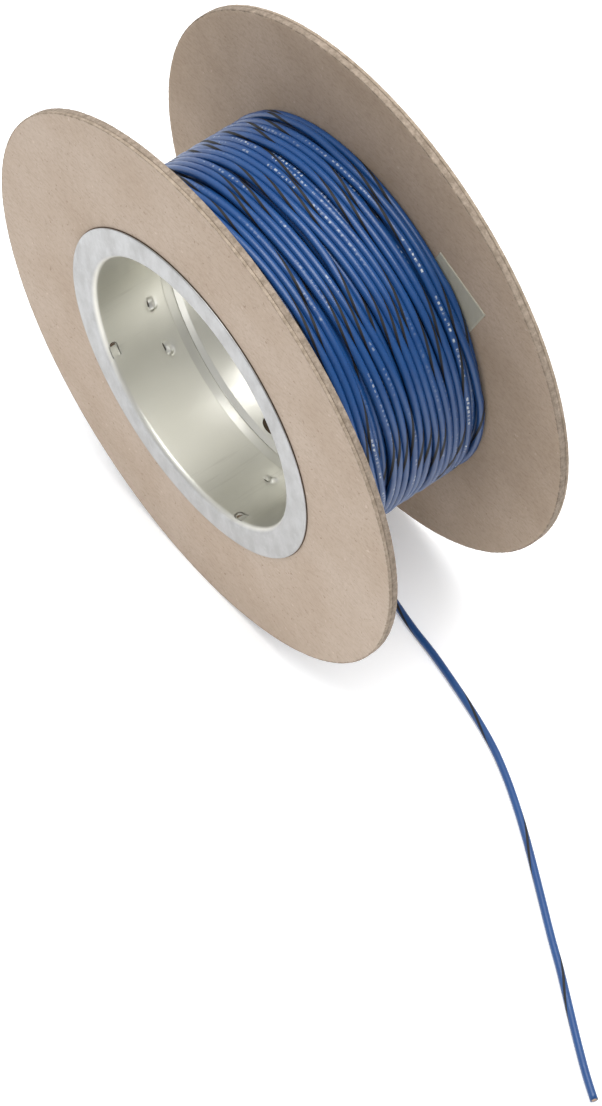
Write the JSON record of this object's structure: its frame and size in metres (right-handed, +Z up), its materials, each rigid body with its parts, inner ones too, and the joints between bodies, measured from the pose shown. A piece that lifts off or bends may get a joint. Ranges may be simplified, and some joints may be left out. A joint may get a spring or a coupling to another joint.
{
  "type": "wire spool",
  "caption": "Spool of blue hook-up wire: two laminated board flanges on a steel-lined paper core, wound full, with the free end trailing on the table.",
  "frame": {"origin": "on the standing surface, below the middle of the spool's width and axis", "axes": "X across the spool towards the trailing wire, Y along the spool's axis from the front flange to the rear one, Z up"},
  "size_m": [0.2547, 0.0749, 0.1524],
  "materials": {
    "facing_board": "matte",
    "flange_board": "matte",
    "tinned_steel": "satin",
    "kraft_tube": "matte",
    "masking_tape": "matte",
    "wire_insulation": "satin",
    "copper_strand": "satin"
  },
  "bodies": {
    "root": {"front_flange_facing": "facing_board", "front_flange_board": "flange_board", "rear_flange_facing": "facing_board", "rear_flange_board": "flange_board", "front_ferrule": "tinned_steel", "rear_ferrule": "tinned_steel", "core_tube": "kraft_tube", "start_tape": "masking_tape", "wire_winding": "wire_insulation", "wire_tail": "wire_insulation", "tail_conductor": "copper_strand"}
  },
  "joints": []
}
